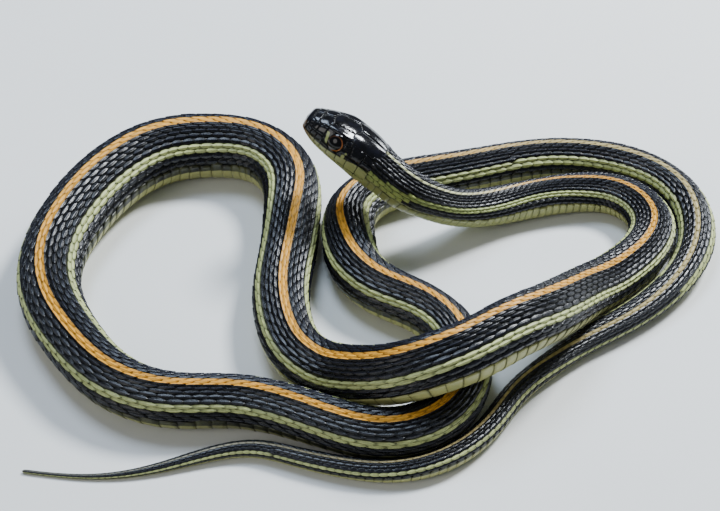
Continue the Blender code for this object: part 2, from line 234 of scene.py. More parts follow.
def body_table():
    """One row for each place along the snake: centre, side, up, sizes, squareness, flat, lean."""
    along = np.arange(-HEAD_LENGTH, BODY_LENGTH + TABLE_STEP, TABLE_STEP)
    body = np.clip(along, 0, BODY_LENGTH)
    ahead = unit(spine(np.minimum(body + 1, BODY_LENGTH)) - spine(np.maximum(body - 1, 0)))
    side = unit(np.cross(ahead, (0, 0, 1)))
    up = np.cross(side, ahead)
    tilt = math.radians(HEAD_TILT) * (1 - smooth_step(0, TILT_REACH, along))[:, None]
    side = side * np.cos(tilt) + up * np.sin(tilt)
    up = np.cross(side, ahead)

    back = np.clip(along + HEAD_LENGTH, NOSE_ROUND, HEAD_LENGTH)
    in_head = (along < 0)[:, None]
    head = head_curve(back)
    girth = girth_curve(body)
    sizes = np.where(in_head, head[:, :3], girth[:, [0, 1, 1]])
    nose = np.clip((along + HEAD_LENGTH) / NOSE_ROUND, 0, 1)
    tail = np.clip((BODY_LENGTH - along) / TAIL_TIP, 0, 1)
    for end in (nose, tail):
        sizes = sizes * np.sqrt(1 - (1 - end[:, None]) ** 2)
    centre = spine(body) + ahead * np.minimum(along, 0)[:, None]
    centre += up * np.where(in_head, head[:, 3:], 0)
    round_neck = smooth_step(SQUARE_EASES, HEAD_LENGTH, along + HEAD_LENGTH)
    power = 2 + (HEAD_SQUARE - 2) * (1 - round_neck)
    flat = 1 - (1 - BELLY_FLAT) * smooth_step(*FLAT_STARTS, along)
    lean = lean_curve(body)
    columns = [centre, side, up, sizes, power[:, None], flat[:, None], lean]
    return np.hstack(columns)


TABLE = body_table()


def lookup(along):
    """The table's row at any length, between its places."""
    place = (np.asarray(along, float) + HEAD_LENGTH) / TABLE_STEP
    place = np.clip(place, 0, len(TABLE) - 1.001)
    low = place.astype(int)
    share = (place - low)[..., None]
    return TABLE[low] * (1 - share) + TABLE[low + 1] * share


def surface(along, turn, out=0.0):
    """Points of the snake at a length, a turn round it and a height over it, in metres."""
    along, turn, out = np.broadcast_arrays(
        np.asarray(along, float), np.asarray(turn, float), np.asarray(out, float))
    row = lookup(along)
    centre, side, up = row[..., 0:3], row[..., 3:6], row[..., 6:9]
    wide, crown, chin, power, flat, lean = (row[..., HALF_WIDTH + k] for k in range(6))
    angle = np.radians(turn + lean)
    sine, cosine = np.sin(angle), np.cos(angle)
    across = np.sign(sine) * np.abs(sine) ** (2 / power)
    rise = np.sign(cosine) * np.abs(cosine) ** (2 / power)
    press = smooth_step(*FLAT_EDGE, -rise / flat)
    rise = np.where(rise < 0, np.maximum(rise / flat, -1), rise)
    tall = np.where(rise >= 0, crown, chin)
    facing = [across / np.maximum(wide, THINNEST), rise / np.maximum(tall, THINNEST)]
    facing = unit(np.stack(facing, axis=-1) + 1e-9)
    facing = unit(facing * (1 - press)[..., None] + np.array([0, -1.0]) * press[..., None])
    x = across * wide + out * facing[..., 0]
    y = rise * tall + out * facing[..., 1]
    points = centre + side * x[..., None] + up * y[..., None]
    points[..., 2] = np.maximum(points[..., 2], 0)
    return points * MM


def body_size(along):
    """How large the scales are here, as a share of those at mid body."""
    return np.minimum(1.0, lookup(along)[..., HALF_WIDTH] / FULL_SIZE)


def add_object(name, mesh, material):
    obj = bpy.data.objects.new(name, mesh)
    bpy.context.scene.collection.objects.link(obj)
    mesh.materials.append(material)
    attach(obj, "root")
    return obj


# Skin

def mouth_turn(back):
    places, turns = np.array(MOUTH).T
    return np.interp(back, places, turns)


def skin_height(back, turn):
    """Height of the skin over the smooth form of the head: the brow, less the mouth line."""
    turn = np.abs(turn)
    length, width = BROW_SPREAD
    brow = np.exp(-((turn - BROW_TURN) / width) ** 2 - ((back - EYE_BACK) / length) ** 2)
    mouth = np.exp(-((turn - mouth_turn(back)) / MOUTH_SPREAD) ** 2)
    mouth = mouth * smooth_step(*MOUTH_END, back)
    return BROW_RISE * brow - MOUTH_DEPTH * mouth


def lie_of(along, turn):
    """The pattern's own measures: decimetres along the snake and half turns round it."""
    return along / 100, turn / 180


def lay_on_snake(shape, along, turn, height):
    """Moves each point to its place on the snake and keeps the pattern's measures in Lie."""
    lie = shape.loops.layers.uv.new("Lie")
    shape.verts.index_update()
    for face in shape.faces:
        for loop in face.loops:
            index = loop.vert.index
            loop[lie].uv = lie_of(along[index], turn[index])
    points = surface(along, turn, height)
    for vert, point in zip(shape.verts, points):
        vert.co = point
    return points


def smooth_mesh(name, shape):
    """A finished bmesh turned into a smooth mesh."""
    mesh = bpy.data.meshes.new(name)
    shape.to_mesh(mesh)
    shape.free()
    mesh.shade_smooth()
    return mesh


def make_skin(material):
    """One skin from the snout to the tail's tip: a grid with its x along and its y round."""
    head = np.linspace(-HEAD_LENGTH, 0, HEAD_RINGS, endpoint=False)
    nose = -HEAD_LENGTH + np.array(NOSE_RINGS)
    body = np.linspace(0, BODY_LENGTH, BODY_RINGS)
    tip = BODY_LENGTH - np.array(TIP_RINGS)
    places = np.sort(np.concatenate([head, nose, body, tip]))
    turns = np.linspace(-180, 180, SKIN_SIDES + 1)
    shape = bmesh.new()
    bmesh.ops.create_grid(shape, x_segments=len(places) - 1, y_segments=SKIN_SIDES, size=0.5)
    flat = np.array([vert.co for vert in shape.verts])
    along = places[np.rint((flat[:, 0] + 0.5) * (len(places) - 1)).astype(int)]
    turn = turns[np.rint((flat[:, 1] + 0.5) * SKIN_SIDES).astype(int)]
    depth = SKIN_DEPTH * np.minimum(1, lookup(along)[..., HALF_WIDTH] / SKIN_THINS)
    depth = depth * (SHIELD_SHARE + (1 - SHIELD_SHARE) * smooth_step(*SHIELDS_END, along))
    height = skin_height(along + HEAD_LENGTH, turn) * (along < 0) - depth
    lay_on_snake(shape, along, turn, height)
    bmesh.ops.remove_doubles(shape, verts=shape.verts, dist=1e-7)
    bmesh.ops.recalc_face_normals(shape, faces=shape.faces)
    return add_object("skin", smooth_mesh("skin", shape), material)


# Scales

TIP_CROWDING = 0.9             # rows of a scale's grid lie closer towards its tip
KEEL_WIDTH = 0.17
KEEL_RISE = 2.5                # how soon the keel rises from the root
DOME = (0.42, 0.85)            # a scale's crown, and how far along it is held up
FOOT_LENGTH = 0.985            # the foot of its wall draws in a little, and goes into the skin
FOOT_WIDTH = 0.97
FOOT_DEPTH = 0.75


def bare_scale(columns, widths, keel, tip):
    """One scale lying flat: x from its root at 0 to its tip at 1, y across it, z its height.

    It starts as a grid, takes its outline from the widths, gets a wall all round and is closed.
    keel is the height of its keel, and tip how far its corners lie behind its tip.
    """
    shape = bmesh.new()
    rows = len(widths) - 1
    bmesh.ops.create_grid(shape, x_segments=rows, y_segments=len(columns) - 1, size=0.5)
    steps = np.linspace(0, 1, rows + 1) ** TIP_CROWDING
    crown, held = DOME
    for vert in shape.verts:
        i = round((vert.co.x + 0.5) * rows)
        j = round((vert.co.y + 0.5) * (len(columns) - 1))
        down, off = steps[i], columns[j]
        ridge = keel * math.exp(-(off / KEEL_WIDTH) ** 2) * min(1, down * KEEL_RISE)
        vert.co.x = down - tip * (off * off) * (1 if i == rows else down * down)
        vert.co.y = off * widths[i]
        vert.co.z = down + crown * (1 - off * off) * math.sin(math.pi * min(down, held)) + ridge
    rim = [edge for edge in shape.edges if edge.is_boundary]
    wall = bmesh.ops.extrude_edge_only(shape, edges=rim)["geom"]
    foot = [item for item in wall if isinstance(item, bmesh.types.BMVert)]
    for vert in foot:
        vert.co.x = 0.5 + (vert.co.x - 0.5) * FOOT_LENGTH
        vert.co.y *= FOOT_WIDTH
        vert.co.z = min(vert.co.z, vert.co.z * 0.5) - FOOT_DEPTH
    hem = [edge for edge in shape.edges if edge.is_boundary]
    bmesh.ops.edgeloop_fill(shape, edges=hem)
    bmesh.ops.recalc_face_normals(shape, faces=shape.faces)
    shape.verts.index_update()
    points = np.array([vert.co for vert in shape.verts])
    faces = [[vert.index for vert in face.verts] for face in shape.faces]
    shape.free()
    return points, faces


def joined_copies(name, faces, points, maps, material, fleck):
    """Joins copies of one small shape; points and maps hold one row of values for each copy."""
    count, size = points.shape[:2]
    corners = np.concatenate(faces)
    ends = np.cumsum([0] + [len(face) for face in faces])
    shift = np.arange(count)[:, None]
    loops = (corners[None, :] + shift * size).ravel()
    starts = (ends[None, :-1] + shift * len(corners)).ravel()
    mesh = bpy.data.meshes.new(name)
    mesh.vertices.add(count * size)
    mesh.vertices.foreach_set("co", points.reshape(-1).astype(np.float32))
    mesh.loops.add(len(loops))
    mesh.loops.foreach_set("vertex_index", loops.astype(np.int32))
    mesh.polygons.add(len(starts))
    mesh.polygons.foreach_set("loop_start", starts.astype(np.int32))
    mesh.update(calc_edges=True)
    for label, values in maps.items():
        layer = mesh.uv_layers.new(name=label)
        layer.data.foreach_set("uv", values.reshape(-1, 2)[loops].reshape(-1).astype(np.float32))
    tone = mesh.attributes.new("Fleck", "FLOAT", "POINT")
    tone.data.foreach_set("value", np.repeat(fleck, size).astype(np.float32))
    mesh.validate()
    mesh.shade_smooth()
    add_object(name, mesh, material)


def scale_pitch(along):
    """Length of one scale in its row: short behind the head and on the tail, long between."""
    places, lengths = np.array(PITCH).T
    return np.interp(along, places, lengths)


def scale_places():
    """Length along the spine of every ring of scales, down to the tip of the tail."""
    places = [SCALE_START]
    while places[-1] < BODY_LENGTH - 1.5:
        places.append(places[-1] + float(scale_pitch(places[-1])))
    return np.array(places)


PLACES = scale_places()
BAKE_PATCH = 0.003             # width of one scale's patch on the map for baking
BAKE_EDGE = 0.01               # margin of that map
# Spread of length, place, width and thickness from scale to scale
UNEVEN = (0.02, 0.03, 0.02, 0.06)


def row_plan(along):
    """Turns of the rows of scales at a length, from the middle of the back down."""
    return [rows for start, rows in SCALE_ROWS if along >= start][-1]


def scale_list(start, end):
    """Middle, turn and half width of every scale between two lengths."""
    found = []
    for place in PLACES:
        rows = row_plan(place)
        edges = (-rows[1],) + rows + (2 * SCUTE_TURN - rows[-1],)
        for k, turn in enumerate(rows):
            share = SIDE_ROW_WIDTH if SIDE_ROWS[0] < turn < SIDE_ROWS[1] else 1.0
            half = 0.5 * (edges[k + 2] - edges[k]) * share
            middle = place + (k % 2) * 0.5 * float(scale_pitch(place))
            if start <= middle < end:
                for hand in ((1, -1) if k else (1,)):
                    found.append((middle, hand * turn, half))
    return np.array(found)


def lay_scales(name, shape, listed, span, material, reach, spread, stand):
    """Lays one kind of scale over the snake at the listed places.

    reach and spread stretch it along and across; stand is its thickness at the tip (mm). span is
    the stretch of the spine that fills the map for baking.
    """
    points, faces = shape
    count = len(listed)
    middle, turn, half = (listed[:, k:k + 1] for k in range(3))
    uneven = RANDOM.normal(0, 1, (count, 4)) * UNEVEN
    longer, moved, wider, thicker = (uneven[:, k:k + 1] for k in range(4))
    pitch = scale_pitch(middle)
    along = middle + (points[None, :, 0] - 0.5) * (pitch * reach * (1 + longer))
    along = along + moved * pitch
    around = turn + points[None, :, 1] * (half * spread * (1 + wider))
    height = -SKIN_DEPTH + stand * points[None, :, 2] * (1 + thicker)
    place = surface(along, around, height * body_size(middle))
    lie = np.stack(lie_of(along, around), axis=-1)
    own = np.stack(np.broadcast_arrays(points[None, :, 0], points[None, :, 1] * 0.5 + 0.5), -1)
    own = np.broadcast_to(own, lie.shape)
    start, end = span
    spot = np.stack([(middle - start) / (end - start), turn / 360 + 0.5], axis=-1)
    spot = BAKE_EDGE + (1 - 2 * BAKE_EDGE) * np.clip(spot, 0, 1) + (own - 0.5) * BAKE_PATCH
    root = np.broadcast_to(np.stack(lie_of(middle, turn), axis=-1), lie.shape)
    maps = {"Lie": lie, "Scale": own, "OFBake": spot, "Root": root}
    joined_copies(name, faces, place, maps, material, RANDOM.random(count))


def make_scales(material):
    columns = (-1, -0.62, -0.2, 0, 0.2, 0.62, 1)
    keeled = bare_scale(columns, (0.2, 0.7, 1.0, 0.94, 0.66, 0.16), keel=0.9, tip=0.05)
    start = SCALE_START
    for name, end in FLESH_LENGTHS:
        lay_scales(f"scales_{name}", keeled, scale_list(start, end), (start, end), material,
                   reach=1.42, spread=0.61, stand=0.19)
        start = end


SCUTE_STAND = 0.16             # thickness of scutes and throat scales at their tips
SCUTE_SHIFT = 0.3              # a belly scute lies this far behind its ring of scales


def make_belly_scutes(material):
    """Broad plates across the belly, and two narrower ones that lead on to the throat."""
    plate = bare_scale(np.linspace(-1, 1, 21), (0.97, 1.0, 1.0, 0.985), keel=0, tip=0)
    starts = [place + SCUTE_SHIFT for place in PLACES if place + SCUTE_SHIFT < VENT]
    listed = [(start, 180, 180 - SCUTE_TURN) for start in starts]
    listed += [(SCALE_START - 2.0 * k, 180, 76 - 3 * k) for k in (1, 2)]
    lay_scales("belly_scutes", plate, np.array(listed), (-10, VENT), material,
               reach=1.28, spread=1.0, stand=SCUTE_STAND)


def make_tail_scutes(material):
    """Pairs of smaller plates under the tail, the right one half a place behind the left."""
    half_plate = bare_scale(np.linspace(-1, 1, 9), (0.6, 0.98, 1.0, 0.7), keel=0, tip=0.06)
    middle = 0.5 * (180 + SCUTE_TURN)
    half = 0.5 * (180 - SCUTE_TURN)
    listed = []
    for place in PLACES[PLACES >= VENT]:
        listed.append((place, middle, half))
        listed.append((place + 0.5 * float(scale_pitch(place)), -middle, half))
    lay_scales("tail_scutes", half_plate, np.array(listed), (VENT, BODY_LENGTH), material,
               reach=1.35, spread=1.1, stand=SCUTE_STAND)


# Rows of throat scales: turn (degrees) and the length along the spine where each starts (mm)
THROAT_ROWS = [(131, -12.2), (141, -10.6), (152, -10.6), (163, -10.6), (173, -10.6)]
THROAT_PITCH = 1.7
THROAT_END = -5.6
THROAT_HALF = 5.5              # half width of one scale (degrees)


def make_throat_scales(material):
    columns = (-1, -0.5, 0, 0.5, 1)
    plain = bare_scale(columns, (0.4, 0.9, 1.0, 0.75, 0.3), keel=0, tip=0.05)
    listed = []
    for row, (turn, first) in enumerate(THROAT_ROWS):
        first = first + 0.5 * THROAT_PITCH * (row % 2)
        for place in np.arange(first, THROAT_END, THROAT_PITCH):
            listed += [(place, hand * turn, THROAT_HALF) for hand in (1, -1)]
    lay_scales("throat_scales", plain, np.array(listed), (-20, -4), material,
               reach=1.15, spread=1.35, stand=SCUTE_STAND)


# Head shields

DEGREE = 0.085                 # one degree of turn on the head, in mm
SHIELD_SEAM = 0.04             # half of the seam between two shields
SHIELD_GRID = 0.28             # spacing of the grid that a shield is cut from
SHIELD_RIM = 0.06              # width of its sloping rim
SHIELD_STAND = 0.12            # how far it stands up from the head, and its rim goes down
SHIELD_SINK = 0.1              # and is then set into the head
SHIELD_DOME = (0.08, 1.2)      # it swells by this much over this distance in from its rim
RIM_REACH = 0.02               # points nearer to the outline than this are the rim's foot
NOSTRIL_SIZE = (0.36, 4.2)     # half its length (mm) and half its turn (degrees)
NOSTRIL_DEPTH = 0.5

# Outlines of the shields of the left side: distance back from the snout (mm), turn (degrees)
PAIRED_SHIELDS = {
    "internasal": [(1.3, 0), (1.3, 30), (1.8, 42), (2.5, 40), (2.6, 22), (2.5, 0)],
    "prefrontal": [(2.55, 0), (2.65, 22), (2.55, 40), (3.2, 48), (4.6, 44), (5.2, 21), (4.7, 0)],
    "supraocular": [(5.25, 21), (4.65, 44), (6.0, 48), (8.6, 47), (10.4, 41), (9.55, 18)],
    "parietal": [(10.75, 0), (9.6, 18), (10.45, 41), (12.0, 45.5), (15.2, 46), (16.9, 22),
                 (16.9, 0)],
    "nasal_front": [(1.3, 31), (1.15, 58), (1.25, 80), (2.0, 80), (2.0, 45)],
    "nasal_rear": [(2.05, 45), (2.05, 80), (3.1, 80), (3.2, 50), (2.6, 42)],
    "loreal": [(3.25, 49.5), (3.15, 80), (4.8, 80), (4.9, 46)],
    "preocular": [(4.95, 46), (4.85, 83), (6.4, 91), (6.6, 49)],
    "postocular_high": [(9.2, 48), (10.35, 42.5), (10.8, 55), (9.3, 62)],
    "postocular_mid": [(9.35, 62.5), (10.8, 55.5), (11.0, 70), (9.4, 76)],
    "postocular_low": [(9.4, 76.5), (11.0, 70.5), (11.1, 83), (8.6, 92)],
    "temporal_front": [(10.6, 43), (10.9, 56), (11.15, 82), (13.8, 81), (13.7, 47)],
    "temporal_high": [(13.75, 47), (13.85, 66), (16.3, 63), (15.6, 47)],
    "temporal_low": [(13.85, 66.5), (13.85, 81), (16.4, 81), (16.3, 63.5)],
    "chin_front": [(2.0, 139), (1.9, 180), (5.8, 180), (5.9, 141), (4.2, 140)],
    "chin_rear": [(5.9, 141), (5.8, 180), (10.4, 180), (10.1, 143)],
}
MEDIAN_SHIELDS = {
    "rostral": [(0.05, -106), (0.05, 106), (1.15, 109), (1.15, 60), (1.25, 31), (1.27, 0),
                (1.25, -31), (1.15, -60), (1.15, -109)],
    "frontal": [(4.75, 0), (5.25, 20.5), (9.55, 17.5), (10.7, 0), (9.55, -17.5), (5.25, -20.5)],
    "mental": [(0.05, 110), (0.05, 250), (0.9, 248), (1.75, 180), (0.9, 112)],
}
UPPER_LIPS = [1.2, 2.4, 3.7, 5.1, 6.9, 9.0, 11.3, 13.8, 16.2]
LOWER_LIPS = [1.0, 2.0, 3.1, 4.4, 5.9, 7.6, 9.5, 11.6, 13.9, 16.2]
LIP_TOP = 83                   # turn of the upper lip's top edge, and of that under the eye
LIP_TOP_AT_EYE = 92
LIPS_AT_EYE = (5.1, 6.9)       # front seams of the two shields under the eye
LIP_GAP = 1.2                  # from the mouth line to the edge of either lip (degrees)
LOWER_LIP_HEIGHT = 17
LIP_SLANTS = (0.25, 0.3)       # how far back a seam leans on the upper and the lower lip (mm)


def lip_shields():
    """The row of shields along each lip, between its seams."""
    shields = []
    upper, lower = LIP_SLANTS
    for near, far in zip(UPPER_LIPS, UPPER_LIPS[1:]):
        top = LIP_TOP_AT_EYE if near in LIPS_AT_EYE else LIP_TOP
        shields.append([(near, top), (near + upper, mouth_turn(near) - LIP_GAP),
                        (far + upper, mouth_turn(far) - LIP_GAP), (far, top)])
    for near, far in zip(LOWER_LIPS, LOWER_LIPS[1:]):
        first, last = mouth_turn(near) + LIP_GAP, mouth_turn(far) + LIP_GAP
        shields.append([(near, first), (near + lower, first + LOWER_LIP_HEIGHT),
                        (far + lower, last + LOWER_LIP_HEIGHT), (far, last)])
    return shields


def area(points):
    """Area of an outline, negative where it runs the other way round."""
    x, y = np.array(points).T
    return 0.5 * np.sum(x * np.roll(y, -1) - y * np.roll(x, -1))


def shield_height(back, turn, inner):
    """Height of a shield over the head's form; inner is its distance in from the rim (mm)."""
    swell, reach = SHIELD_DOME
    dome = swell * np.clip(inner / reach, 0, 1)
    hole = np.exp(-(((back - NOSTRIL[0]) / NOSTRIL_SIZE[0]) ** 4))
    hole = hole * np.exp(-(((np.abs(turn) - NOSTRIL[1]) / NOSTRIL_SIZE[1]) ** 4))
    foot = np.where(inner < RIM_REACH, -SHIELD_STAND, 0.0)
    form = foot + skin_height(back, turn) + dome - NOSTRIL_DEPTH * hole
    return form + SHIELD_STAND * (inner >= RIM_REACH) - SHIELD_SINK


def cut_shield(shape, outline):
    """Cuts one flat shield from a fine grid along its outline, with a narrow rim all round."""
    flat = [(back, turn * DEGREE) for back, turn in outline]
    if area(flat) < 0:
        flat.reverse()
    corners = np.array(flat)
    low, high = corners.min(axis=0), corners.max(axis=0)
    span = high - low
    cells = np.maximum(2, np.ceil(span / SHIELD_GRID)).astype(int)
    bmesh.ops.create_grid(shape, x_segments=int(cells[0]), y_segments=int(cells[1]), size=0.5)
    sheet = list(shape.verts)
    for vert in sheet:
        vert.co.x = low[0] + (vert.co.x + 0.5) * span[0]
        vert.co.y = low[1] + (vert.co.y + 0.5) * span[1]
    for start, end in zip(corners, np.roll(corners, -1, axis=0)):
        edge = unit(end - start)
        outward = Vector((edge[1], -edge[0], 0))
        place = Vector((*start, 0)) - outward * SHIELD_SEAM
        sheet = cut_away(shape, sheet, place, outward)
    rim_faces = list({face for vert in sheet for face in vert.link_faces})
    bmesh.ops.inset_region(shape, faces=rim_faces, thickness=SHIELD_RIM, use_boundary=True)
    return corners


def cut_away(shape, sheet, place, outward):
    """Cuts a sheet along a straight line and drops what lies outward of it."""
    parts = set(sheet)
    for vert in sheet:
        parts.update(vert.link_edges)
        parts.update(vert.link_faces)
    cut = bmesh.ops.bisect_plane(shape, geom=list(parts), plane_co=place, plane_no=outward,
                                 clear_outer=True)
    kept = {item for item in cut["geom"] if item.is_valid}
    kept.update(item for item in cut["geom_cut"] if item.is_valid)
    return [item for item in kept if isinstance(item, bmesh.types.BMVert)]


def inner_distance(points, corners):
    """Distance of points inside a convex outline from its nearest side."""
    nearest = np.full(len(points), np.inf)
    for start, end in zip(corners, np.roll(corners, -1, axis=0)):
        edge = unit(end - start)
        inward = np.array([-edge[1], edge[0]])
        nearest = np.minimum(nearest, (points - start) @ inward)
    return nearest - SHIELD_SEAM


def one_shield(outline):
    """One finished shield, laid on the head, with the pattern's measures on it."""
    shape = bmesh.new()
    corners = cut_shield(shape, outline)
    bmesh.ops.remove_doubles(shape, verts=shape.verts, dist=1e-4)
    flat = np.array([vert.co[:2] for vert in shape.verts])
    inner = inner_distance(flat, corners)
    back, turn = flat[:, 0], flat[:, 1] / DEGREE
    height = shield_height(back, turn, inner)
    points = lay_on_snake(shape, back - HEAD_LENGTH, turn, height)
    centre = np.mean(points, axis=0)
    middle = surface(np.mean(back) - HEAD_LENGTH, np.mean(turn), -2.0)
    shape.normal_update()
    facing = sum((face.normal * face.calc_area() for face in shape.faces), Vector())
    if facing.dot(Vector(centre - middle)) < 0:
        bmesh.ops.reverse_faces(shape, faces=shape.faces)
    return shape


def make_shields(material):
    outlines = list(MEDIAN_SHIELDS.values())
    for outline in list(PAIRED_SHIELDS.values()) + lip_shields():
        outlines.append(outline)
        outlines.append([(back, -turn) for back, turn in outline])
    joined = bmesh.new()
    joined.loops.layers.uv.new("Lie")
    for outline in outlines:
        piece = smooth_mesh("shield", one_shield(outline))
        joined.from_mesh(piece)
        bpy.data.meshes.remove(piece)
    add_object("head_shields", smooth_mesh("head_shields", joined), material)


# Eyes

def head_facing(back, turn):
    """Direction out of the head, square to its surface."""
    near, beside = 0.4, 4
    ahead = surface(back - near - HEAD_LENGTH, turn) - surface(back + near - HEAD_LENGTH, turn)
    around = surface(back - HEAD_LENGTH, turn - beside)
    around = around - surface(back - HEAD_LENGTH, turn + beside)
    return unit(-np.cross(ahead, around))


def make_eye(label, hand, material):
    """A flattened ball set in the head; hand is 1 for the left eye and -1 for the right."""
    turn = EYE_TURN * hand
    outward = Vector(head_facing(EYE_BACK, turn))
    centre = Vector(surface(EYE_BACK - HEAD_LENGTH, turn)) - outward * EYE_SET * MM
    forward = Vector(surface(-HEAD_LENGTH, 0) - surface(-HEAD_LENGTH + 4, 0))
    upward = forward.cross(outward).normalized() * hand
    ahead = outward.cross(upward) * hand
    shape = bmesh.new()
    bmesh.ops.create_uvsphere(shape, u_segments=48, v_segments=32, radius=1)
    gaze = shape.loops.layers.uv.new("Gaze")
    for face in shape.faces:
        for loop in face.loops:
            x, y, z = loop.vert.co
            loop[gaze].uv = (0.5 + 0.5 * x, 0.5 + 0.5 * y) if z > 0 else (0, 0)
    for vert in shape.verts:
        x, y, z = vert.co
        flat = ahead * x + upward * y
        vert.co = centre + (flat * EYE_RADIUS + outward * z * EYE_DEPTH) * MM
    bmesh.ops.recalc_face_normals(shape, faces=shape.faces)
    name = f"eyeball_{label}"
    eye = add_object(name, smooth_mesh(name, shape), material)
    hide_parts(f"eye_{label}")


# Materials

def plain_colour(red, green, blue):
    """A colour given as it looks on a screen, turned into light."""
    return tuple((c / 255) ** 2.2 for c in (red, green, blue)) + (1.0,)


INK = plain_colour(11, 11, 14)
SHEEN_INK = plain_colour(44, 46, 62)
GOLD = plain_colour(218, 156, 48)
NAPE_PALE = plain_colour(222, 222, 168)
TAIL_TAN = plain_colour(176, 158, 104)
TAIL_GREY = plain_colour(112, 110, 96)
SIDE_GREEN = plain_colour(180, 186, 122)
NECK_GREEN = plain_colour(152, 164, 92)
BELLY_CREAM = plain_colour(166, 164, 104)
LIP_SAGE = plain_colour(142, 146, 92)
SNOUT_TAN = plain_colour(118, 88, 52)
BAR_SAGE = plain_colour(150, 156, 96)
NOSTRIL_SHADE = plain_colour(5, 5, 5)
BELLY_SHADE = plain_colour(122, 124, 74)
PUPIL = plain_colour(6, 6, 8)
RING_BROWN = plain_colour(58, 38, 24)
RING_COPPER = plain_colour(176, 104, 58)
RING_SHADE = plain_colour(60, 30, 18)
FLOOR_SHADE = plain_colour(222, 223, 220)
FLOOR_PALE = plain_colour(228, 228, 225)


class Wires:
    """Places nodes in a tree and joins them; every call gives back an output socket."""

    def __init__(self, tree):
        self.tree = tree

    def node(self, kind, **settings):
        made = self.tree.nodes.new(kind)
        for key, value in settings.items():
            setattr(made, key, value)
        return made

    def feed(self, socket, value):
        if isinstance(value, bpy.types.NodeSocket):
            self.tree.links.new(value, socket)
        elif value is not None:
            socket.default_value = value

    def math(self, operation, *values):
        made = self.node("ShaderNodeMath", operation=operation)
        for socket, value in zip(made.inputs, values):
            self.feed(socket, value)
        return made.outputs[0]

    def ramp(self, value, low, high, first, last, kind="LINEAR"):
        """From first at low to last at high."""
        made = self.node("ShaderNodeMapRange", interpolation_type=kind)
        for socket, given in zip(made.inputs, (value, low, high, first, last)):
            self.feed(socket, given)
        return made.outputs[0]

    def step(self, value, low, high):
        """From 0 below low to 1 above high, smoothly."""
        return self.ramp(value, low, high, 0.0, 1.0, "SMOOTHSTEP")

    def profile(self, value, knots):
        """Straight from knot to knot, each a value and its result."""
        (low, first), (high, last) = knots[:2]
        run = self.ramp(value, low, high, first, last)
        for (low, first), (high, last) in zip(knots[1:], knots[2:]):
            if last != first:
                run = self.math("ADD", run, self.ramp(value, low, high, 0.0, last - first))
        return run

    def mix(self, share, first, second, blend="MIX"):
        made = self.node("ShaderNodeMix", data_type="RGBA", blend_type=blend)
        colours = [s for s in made.inputs if s.type == "RGBA"]
        self.feed(made.inputs[0], share)
        self.feed(colours[0], first)
        self.feed(colours[1], second)
        return [s for s in made.outputs if s.type == "RGBA"][0]

    def tones(self, tone, value, changes):
        """A colour that gives way to the next between two values, change after change."""
        for (start, end), colour in changes:
            tone = self.mix(self.step(value, start, end), tone, colour)
        return tone

    def split(self, vector):
        made = self.node("ShaderNodeSeparateXYZ")
        self.feed(made.inputs[0], vector)
        return made.outputs

    def noise(self, vector, scale, detail=2.0):
        made = self.node("ShaderNodeTexNoise")
        self.feed(made.inputs["Vector"], vector)
        made.inputs["Scale"].default_value = scale
        made.inputs["Detail"].default_value = detail
        return made.outputs["Fac"]

    def uv_map(self, name):
        return self.node("ShaderNodeUVMap", uv_map=name).outputs["UV"]


def new_group(name, inputs, outputs):
    group = bpy.data.node_groups.new(name, "ShaderNodeTree")
    for label in inputs:
        group.interface.new_socket(label, in_out="INPUT", socket_type="NodeSocketFloat")
    for label, kind in outputs:
        group.interface.new_socket(label, in_out="OUTPUT", socket_type=kind)
    return group, Wires(group)


# Markings of the body: lengths along the spine (mm), turns from the middle of the back (degrees)
BODY_WOBBLE = 1.4              # how far an even edge wanders
STRIPE_START = (-3.6, -2.6)    # the gold stripe begins between these lengths
STRIPE_HALF = [(6.0, 3.7), (70.0, 7.2), (130.0, 8.2)]  # length and half width
STRIPE_EDGE = (-0.5, 0.6)      # how softly the stripe ends at its edge
STRIPE_TONES = [((10.0, 40.0), GOLD), ((430.0, 500.0), TAIL_TAN), ((600.0, 660.0), TAIL_GREY)]
SIDE_UPPER = 51.6              # turns between which a row belongs to the side stripe
SIDE_LOWER = 72.0
SIDE_EDGE = (-0.6, 0.6)
# On the neck each edge lies lower, from the first shift at one length to the second at the next
NECK_UPPER = (-4.0, 6.0, 25.0, 0.0)
NECK_LOWER = (1.0, 4.5, 50.0, 0.0)
FEWER_ROWS = (440.0, 450.0)    # where the rows of scales grow fewer and the stripe's turns shift
FEWEST_ROWS = (545.0, 552.0)
UPPER_SHIFTS = (4.6, 9.8)
LOWER_SHIFT = 11.0
SIDE_TONES = [((-4.0, 70.0), SIDE_GREEN)]
BELLY_TOP = [(3.0, 91.0), (20.0, 95.0), (150.0, 95.0), (200.0, 112.0)]  # length and turn
BELLY_EDGE = (-0.8, 0.8)
BELLY_TONES = [((0.0, 60.0), BELLY_CREAM)]


